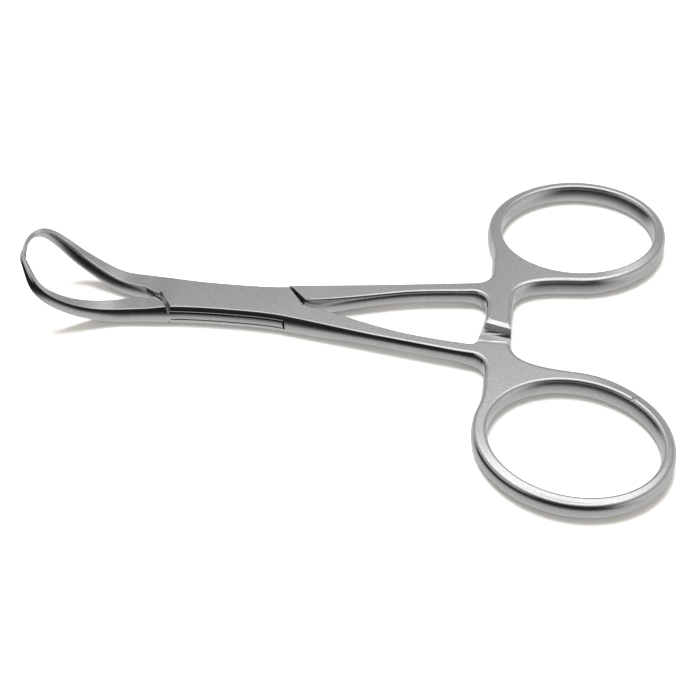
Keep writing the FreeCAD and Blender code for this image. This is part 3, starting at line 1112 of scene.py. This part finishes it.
def side_profile(top: float, bottom: float, rounding: float) -> list[tuple[float, float]]:
    """The convex side from a top face's edge to a bottom face's edge.

    Args:
        top: Height of the top face.
        bottom: Height of the bottom face.
        rounding: How far the edges' rounding reaches into the faces.

    Returns:
        Distances out of the outline and heights.
    """
    widest = BOX.bulge + BOX.fullness
    waist = (top + bottom) / 2

    def half(face: float) -> list[tuple[float, float]]:
        """The side from a face's edge to the waist."""
        start = bulge_at(face)
        height = face - waist
        poles = [(start - rounding, height), (start + rounding * BOX.edge_pull, height),
                 (widest, height * BOX.side_pull), (widest, 0)]
        points = []
        for share in spread(0, 1, LAYERS):
            rest = 1 - share
            weights = (rest**3, 3 * rest**2 * share, 3 * rest * share**2, share**3)
            out = sum(weight * pole[0] for weight, pole in zip(weights, poles))
            up = sum(weight * pole[1] for weight, pole in zip(weights, poles))
            points.append((out, waist + up))
        return points

    return half(top) + half(bottom)[-2::-1]


def side_columns(sides: list[Path], recess: float) -> list[Path]:
    """The outline's walls as columns of points.

    Args:
        sides: The convex sides, with flat ends between them.
        recess: How far the sides are set in along the box.

    Returns:
        For each place round the outline, its points from top to bottom.
    """
    columns = []
    hole = RING.hole_path()
    depths = list(zip(BOX.recess_places, (0, recess, recess, 0)))
    for number, side in enumerate(sides):
        before = (side[0] - sides[number - 1][-1]).normalized()
        after = (sides[(number + 1) % len(sides)][0] - side[-1]).normalized()
        outs = out_of(side)
        for place, (point, out) in enumerate(zip(side, outs)):
            top, bottom = face_heights(point.x)
            set_in = eased(point.x, depths)
            column = []
            for offset, z in side_profile(top, bottom, edge_round(point.x)):
                offset -= set_in
                if place == 0:
                    moved = slid(point, out, before, offset)
                elif place == len(side) - 1:
                    moved = slid(point, out, after, offset)
                else:
                    moved = point + out * offset
                height = (z - MIDDLE) / (top - MIDDLE)
                drop = RING.drop(moved.x, moved.y, hole) * height
                column.append(Vector((moved.x, moved.y, z - drop)))
            columns.append(column)
    return columns


def cut(piece: bpy.types.Object, cutters: list[bpy.types.Object]) -> None:
    """Takes cutters out of a piece, and removes them.

    Args:
        piece: The piece.
        cutters: What is taken out.
    """
    # Empty slots keep the marks on flat faces through the cuts
    for _ in range(FLAT + 1):
        piece.data.materials.append(None)
    for cutter in cutters:
        modifier = piece.modifiers.new(cutter.name, "BOOLEAN")
        modifier.operation = "DIFFERENCE"
        modifier.solver = "EXACT"
        modifier.object = cutter
    graph = bpy.context.evaluated_depsgraph_get()
    mesh = bpy.data.meshes.new_from_object(piece.evaluated_get(graph))
    piece.modifiers.clear()
    piece.data = mesh
    for cutter in cutters:
        bpy.data.objects.remove(cutter)


def finish_surface(piece: bpy.types.Object, parts: list[bpy.types.Object], mirror: bool,
                   material: bpy.types.Material) -> None:
    """Joins the parts of a half, mirrors them if wanted and sets shading and finish.

    Args:
        piece: The half.
        parts: What is welded on to it.
        mirror: Whether the half is the mirrored one.
        material: The finish.
    """
    shape = bmesh.new()
    shape.from_mesh(piece.data)
    for part in parts:
        shape.from_mesh(part.data)
        bpy.data.objects.remove(part)
    if mirror:
        bmesh.ops.scale(shape, vec=(1, -1, 1), verts=shape.verts)
        bmesh.ops.reverse_faces(shape, faces=shape.faces)
    for edge in shape.edges:
        kinds = {face.material_index for face in edge.link_faces}
        bend = edge.calc_face_angle(math.pi)
        edge.smooth = len(kinds) == 1 and bend < math.radians(SMOOTH_ANGLE)
    for face in shape.faces:
        face.smooth = True
        face.material_index = 0
    shape.to_mesh(piece.data)
    shape.free()
    piece.data.materials.clear()
    piece.data.materials.append(material)


@dataclass(frozen=True)
class Half:
    """A half of the clamp, and what its build shares with the other half's."""

    title: str
    node: Node
    body: str
    form: HalfForm
    recess: float
    hook: Course
    mirrored: bool

    def cutters(self) -> list[bpy.types.Object]:
        """What is cut out of the half."""
        raise NotImplementedError

    def build(self, material: bpy.types.Material) -> bpy.types.Object:
        """Builds the half and gives it its finish.

        Args:
            material: The finish.

        Returns:
            The piece.
        """
        shell = Shell()
        shell.wall(side_columns(self.form.sides(), self.recess))
        shell.wall(RING.hole_columns())
        shell.close()
        shell.follow_slopes()
        piece = shell.to_object(f"{self.title}_finish")
        cut(piece, self.cutters())
        tine = TINE.build(f"{self.title}_tine", self.hook)
        finish_surface(piece, [tine], self.mirrored, material)
        return piece


class FemaleHalf(Half):
    """The half with the box, the front shank and the lower ratchet arm."""

    def cutters(self) -> list[bpy.types.Object]:
        """The slot, the arm's recess and teeth, and the slopes of the plates."""
        return [BOX.slot_cutter(), ARM.recess("female_recess", False),
                ARM.tooth_gaps("female_teeth", -1), BOX.slot_lip(1), BOX.slot_lip(-1),
                BOX.plate_slope(), BOX.crotch_chamfer(), ARM.step_groove(), RING.nick()]


class MaleHalf(Half):
    """The half with the tongue, the rear shank and the upper ratchet arm."""

    def cutters(self) -> list[bpy.types.Object]:
        """Room for the plates, the arm's recess and teeth, and the shape of its end."""
        half_tongue = BOX.slot_height / 2 - BOX.face_gap
        return [BOX.shoulder_relief("lower_relief", -PAST, MIDDLE - half_tongue),
                BOX.shoulder_relief("upper_relief", MIDDLE + half_tongue, PAST),
                BOX.shoulder_slope(), ARM.recess("male_recess", True),
                ARM.tooth_gaps("male_teeth", 1),
                ARM.end_cutter("arm_end_chamfer", ARM.chamfer_profile),
                ARM.end_cutter("arm_end_undercut", ARM.undercut_profile)]


FEMALE_HALF = FemaleHalf(
    title="female",
    node=Node.FEMALE,
    body="female_body",
    form=HalfForm(
        tine_end=BOX.plate_end(-1),
        shank_end=BOX.plate_end(1),
        tine_start_y=0.0,
        shank_start_x=BOX.end_x,
        shank_stand=0.0,
        arm_corner=ARM.female_corner,
        arm_widening=ARM.female_widening,
    ),
    recess=0.0,
    hook=((0.945, -4.9, 0.875), (1.002, -3.2, 0.925), (1.010, -1.5, 0.95),
          (0.998, 0.15, 0.955), (0.970, 1.6, 0.91)),
    mirrored=True,
)
MALE_HALF = MaleHalf(
    title="male",
    node=Node.MALE,
    body="male_body",
    form=HalfForm(
        tine_end=BOX.tongue_end(-1),
        shank_end=BOX.tongue_end(1),
        tine_start_y=-TINE.inner_y,
        shank_start_x=BOX.shoulder(1).meets(lambda x: -outer_y(x)).x,
        shank_stand=SHANK.male_stand,
        arm_corner=ARM.male_corner,
        arm_widening=0.0,
    ),
    recess=BOX.tongue_recess,
    hook=((0.935, -3.75, 0.93), (0.987, -2.1, 0.975), (1.006, 0.2, 0.985)),
    mirrored=False,
)


@dataclass(frozen=True)
class View:
    """The photograph's viewpoint, in millimetres and unit directions."""

    place: Vector
    forward: Vector
    up: Vector
    focal_length: float
    sensor_width: float

    def add_camera(self) -> None:
        """Creates the camera and makes it the scene's own."""
        data = bpy.data.cameras.new("photo_camera")
        data.lens = self.focal_length
        data.sensor_width = self.sensor_width
        data.sensor_fit = "HORIZONTAL"
        data.clip_start = 0.01
        data.clip_end = 20
        camera = bpy.data.objects.new("photo_camera", data)
        right = self.forward.cross(self.up).normalized()
        up = right.cross(self.forward).normalized()
        turn = Matrix((right, up, -self.forward.normalized())).transposed()
        camera.matrix_world = Matrix.Translation(self.place * MM) @ turn.to_4x4()
        bpy.context.collection.objects.link(camera)
        bpy.context.scene.camera = camera


PHOTO_VIEW = View(
    place=Vector((43.706, -134.969, 151.608)),
    forward=Vector((-0.110956, 0.643335, -0.757502)),
    up=Vector((-0.080391, 0.753901, 0.652052)),
    focal_length=61.714,
    sensor_width=36,
)


@dataclass(frozen=True)
class AreaLight:
    """A soft box light that faces a point."""

    name: str
    place: Vector
    aim: Vector
    width: float
    depth: float
    power: float

    def add(self) -> None:
        """Creates the light."""
        data = bpy.data.lights.new(self.name, "AREA")
        data.shape = "RECTANGLE"
        data.size = self.width
        data.size_y = self.depth
        data.energy = self.power
        light = bpy.data.objects.new(self.name, data)
        light.location = self.place
        light.rotation_euler = (self.aim - self.place).to_track_quat("-Z", "Y").to_euler()
        light.visible_glossy = False
        bpy.context.collection.objects.link(light)
        log.info("light %s: %.2f W", self.name, self.power)


TOP_BOX = AreaLight(
    name="top_box",
    place=Vector((-0.06, 0.20, 0.78)),
    aim=Vector((0.02, 0, 0)),
    width=0.34,
    depth=0.30,
    power=9.5,
)


class NodeGraph:
    """A short way to add and join shader nodes."""

    def __init__(self, tree: bpy.types.NodeTree) -> None:
        """Keeps the tree that nodes are added to."""
        self.tree = tree

    def add(self, kind: str, settings: dict[str, object] | None = None,
            **inputs: object) -> bpy.types.Node:
        """Adds a node.

        Args:
            kind: The node's type.
            settings: Properties of the node itself.
            inputs: Socket values or links, with spaces in names written as underscores.

        Returns:
            The node.
        """
        node = self.tree.nodes.new(kind)
        for name, value in (settings or {}).items():
            setattr(node, name, value)
        for name, value in inputs.items():
            socket = node.inputs[name.replace("_", " ")]
            if isinstance(value, bpy.types.NodeSocket):
                self.tree.links.new(value, socket)
            else:
                socket.default_value = value
        return node

    def ramp(self, value: bpy.types.NodeSocket, low: float, high: float,
             first: float, last: float) -> bpy.types.NodeSocket:
        """Maps a range of a value onto another range.

        Args:
            value: The value to map.
            low: Start of its range.
            high: End of its range.
            first: What the start becomes.
            last: What the end becomes.

        Returns:
            The mapped value's socket.
        """
        node = self.add("ShaderNodeMapRange", None, Value=value)
        node.inputs["From Min"].default_value = low
        node.inputs["From Max"].default_value = high
        node.inputs["To Min"].default_value = first
        node.inputs["To Max"].default_value = last
        return node.outputs["Result"]

    def combine(self, operation: str, first: bpy.types.NodeSocket,
                second: bpy.types.NodeSocket) -> bpy.types.NodeSocket:
        """Combines two values.

        Args:
            operation: The name of the sum.
            first: One value.
            second: The other value.

        Returns:
            The result's socket.
        """
        node = self.add("ShaderNodeMath", {"operation": operation})
        self.tree.links.new(first, node.inputs[0])
        self.tree.links.new(second, node.inputs[1])
        return node.outputs["Value"]

    def mix(self, share: bpy.types.NodeSocket, first: bpy.types.NodeSocket,
            second: bpy.types.NodeSocket) -> bpy.types.NodeSocket:
        """Mixes two shaders.

        Args:
            share: How much of the second is taken.
            first: One shader.
            second: The other shader.

        Returns:
            The mixed shader's socket.
        """
        node = self.add("ShaderNodeMixShader", None, Fac=share)
        self.tree.links.new(first, node.inputs[1])
        self.tree.links.new(second, node.inputs[2])
        return node.outputs["Shader"]

    def background(self, color: object, strength: float) -> bpy.types.NodeSocket:
        """Adds a background of a colour or a colour link, and gives its socket."""
        node = self.add("ShaderNodeBackground", None, Color=color, Strength=strength)
        return node.outputs["Background"]


def new_material(name: str) -> tuple[bpy.types.Material, NodeGraph]:
    """An empty node material.

    Args:
        name: The material's name.

    Returns:
        The material and its graph.
    """
    material = bpy.data.materials.new(name)
    material.use_nodes = True
    material.node_tree.nodes.clear()
    return material, NodeGraph(material.node_tree)


@dataclass(frozen=True)
class SatinSteel:
    """Stainless steel with a fine satin grain, polished more towards the tines."""

    grain_scale: float = 2600.0
    grain_height: float = 0.00001
    grain_strength: float = 0.2
    dark: tuple[float, float, float, float] = (0.58, 0.58, 0.585, 1)
    light: tuple[float, float, float, float] = (0.68, 0.68, 0.68, 1)
    mottle_scale: float = 120.0
    mottle: float = 0.02
    polished_to: float = 0.040
    satin_from: float = 0.052
    polished_roughness: float = 0.18
    satin_roughness: float = 0.25

    def material(self) -> bpy.types.Material:
        """The finish as a material.

        Returns:
            The material.
        """
        material, graph = new_material("satin_steel")
        place = graph.add("ShaderNodeTexCoord").outputs["Object"]
        fine = graph.add("ShaderNodeTexNoise", {"noise_dimensions": "3D"}, Vector=place,
                         Scale=self.grain_scale, Detail=3.0, Roughness=0.6).outputs["Fac"]
        broad = graph.add("ShaderNodeTexNoise", None, Vector=place, Scale=self.mottle_scale,
                          Detail=2.0).outputs["Fac"]
        mottle = graph.ramp(broad, 0.3, 0.7, -self.mottle, self.mottle)
        along = graph.add("ShaderNodeSeparateXYZ", None, Vector=place).outputs["X"]
        satin = graph.ramp(along, self.polished_to, self.satin_from,
                           self.polished_roughness, self.satin_roughness)
        tone = graph.add("ShaderNodeValToRGB", None, Fac=fine)
        stops = ((0.3, self.dark), (0.7, self.light))
        for element, (position, color) in zip(tone.color_ramp.elements, stops):
            element.position = position
            element.color = color
        bump = graph.add("ShaderNodeBump", None, Strength=self.grain_strength,
                         Distance=self.grain_height, Height=fine)
        shader = graph.add("ShaderNodeBsdfPrincipled", None, Base_Color=tone.outputs["Color"],
                           Metallic=1.0, Roughness=graph.combine("ADD", satin, mottle),
                           Normal=bump.outputs["Normal"])
        graph.add("ShaderNodeOutputMaterial", None, Surface=shader.outputs["BSDF"])
        return material


@dataclass(frozen=True)
class Table:
    """The plain white table that the clamp lies on, in metres."""

    reach: float = 1.5
    drop: float = 0.00002
    color: tuple[float, float, float, float] = (0.9, 0.9, 0.895, 1)

    def material(self) -> bpy.types.Material:
        """The table's white.

        Returns:
            The material.
        """
        material, graph = new_material("table_white")
        shader = graph.add("ShaderNodeBsdfDiffuse", None, Color=self.color)
        graph.add("ShaderNodeOutputMaterial", None, Surface=shader.outputs["BSDF"])
        return material

    def build(self) -> None:
        """Builds the table."""
        mesh = bpy.data.meshes.new("table")
        shape = bmesh.new()
        bmesh.ops.create_grid(shape, x_segments=1, y_segments=1, size=self.reach)
        shape.to_mesh(mesh)
        shape.free()
        mesh.materials.append(self.material())
        table = bpy.data.objects.new("table", mesh)
        table.location.z = -self.drop
        table.visible_glossy = False
        bpy.context.collection.objects.link(table)


@dataclass(frozen=True)
class Room:
    """The pale room with a bright ceiling and a dark side, which the steel mirrors.

    What it mirrors is listed as the height of a direction (its sine) and the brightness
    there, for directions towards the viewer and away from them. The spans are where a
    direction passes from the one list to the other.
    """

    diffuse_color: tuple[float, float, float, float] = (1, 0.96, 0.88, 1)
    diffuse_strength: float = 0.75
    away_span: tuple[float, float] = (0.12, 0.50)
    right_span: tuple[float, float] = (0.45, 0.78)
    left_span: tuple[float, float] = (-0.45, -0.70)
    above_span: tuple[float, float] = (-0.05, 0.20)
    in_front: Profile = ((-1.00, 0.72), (-0.76, 0.62), (-0.60, 0.08), (-0.40, 0.015),
                         (0.00, 0.01), (0.48, 0.03), (0.66, 0.38), (0.80, 0.72),
                         (0.90, 1.60), (0.982, 1.60), (0.994, 0.75), (1.00, 0.70))
    behind: Profile = ((-1.00, 0.72), (-0.50, 0.70), (0.10, 0.78), (0.38, 0.48), (0.70, 0.46),
                       (0.76, 0.60), (0.90, 1.60), (0.982, 1.60), (0.994, 0.75), (1.00, 0.70))

    def mirrored(self, graph: NodeGraph, height: bpy.types.NodeSocket,
                 table: Profile) -> bpy.types.NodeSocket:
        """A background whose brightness follows height.

        Args:
            graph: The world's nodes.
            height: Height of the direction.
            table: Heights and brightness.

        Returns:
            The background.
        """
        share = graph.ramp(height, -1.0, 1.0, 0.0, 1.0)
        curve = graph.add("ShaderNodeValToRGB", None, Fac=share)
        elements = curve.color_ramp.elements
        for number, (place, value) in enumerate(table):
            element = elements[number] if number < 2 else elements.new((place + 1) / 2)
            element.position = (place + 1) / 2
            element.color = (value, value, value, 1)
        return graph.background(curve.outputs["Color"], 1.0)

    def light(self) -> None:
        """Makes the room the scene's world, white where the camera sees it."""
        world = bpy.data.worlds.new("studio")
        world.use_nodes = True
        world.node_tree.nodes.clear()
        graph = NodeGraph(world.node_tree)
        direction = graph.add("ShaderNodeTexCoord").outputs["Generated"]
        x, y, z = graph.add("ShaderNodeSeparateXYZ", None, Vector=direction).outputs
        away = graph.ramp(y, *self.away_span, 0.0, 1.0)
        right = graph.ramp(x, *self.right_span, 0.0, 1.0)
        left = graph.ramp(x, *self.left_span, 0.0, 1.0)
        above = graph.ramp(z, *self.above_span, 0.0, 1.0)
        beside = graph.combine("MAXIMUM", right, graph.combine("MULTIPLY", left, above))
        pale = graph.combine("MAXIMUM", away, beside)
        mirrored = graph.mix(pale, self.mirrored(graph, z, self.in_front),
                             self.mirrored(graph, z, self.behind))
        around = graph.background(self.diffuse_color, self.diffuse_strength)
        rays = graph.add("ShaderNodeLightPath")
        lit = graph.mix(rays.outputs["Is Glossy Ray"], around, mirrored)
        white = graph.background((1, 1, 1, 1), 1.0)
        seen = graph.mix(rays.outputs["Is Camera Ray"], lit, white)
        graph.add("ShaderNodeOutputWorld", None, Surface=seen)
        bpy.context.scene.world = world


def main() -> None:
    """Builds the scene."""
    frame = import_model()
    bpy.context.scene.view_settings.view_transform = "Standard"
    PHOTO_VIEW.add_camera()
    TOP_BOX.add()
    Room().light()
    Table().build()

    steel = SatinSteel().material()
    for half in (FEMALE_HALF, MALE_HALF):
        piece = half.build(steel)
        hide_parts(half.node.value)
        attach(piece, half.body)
        log.info("built %s: %d faces", piece.name, len(piece.data.polygons))
    for slot in frame["nodes"][Node.PIN.value].material_slots:
        slot.material = steel
    log.info("finished %s as packed", Node.PIN.value)


if __name__ == "__main__":
    main()
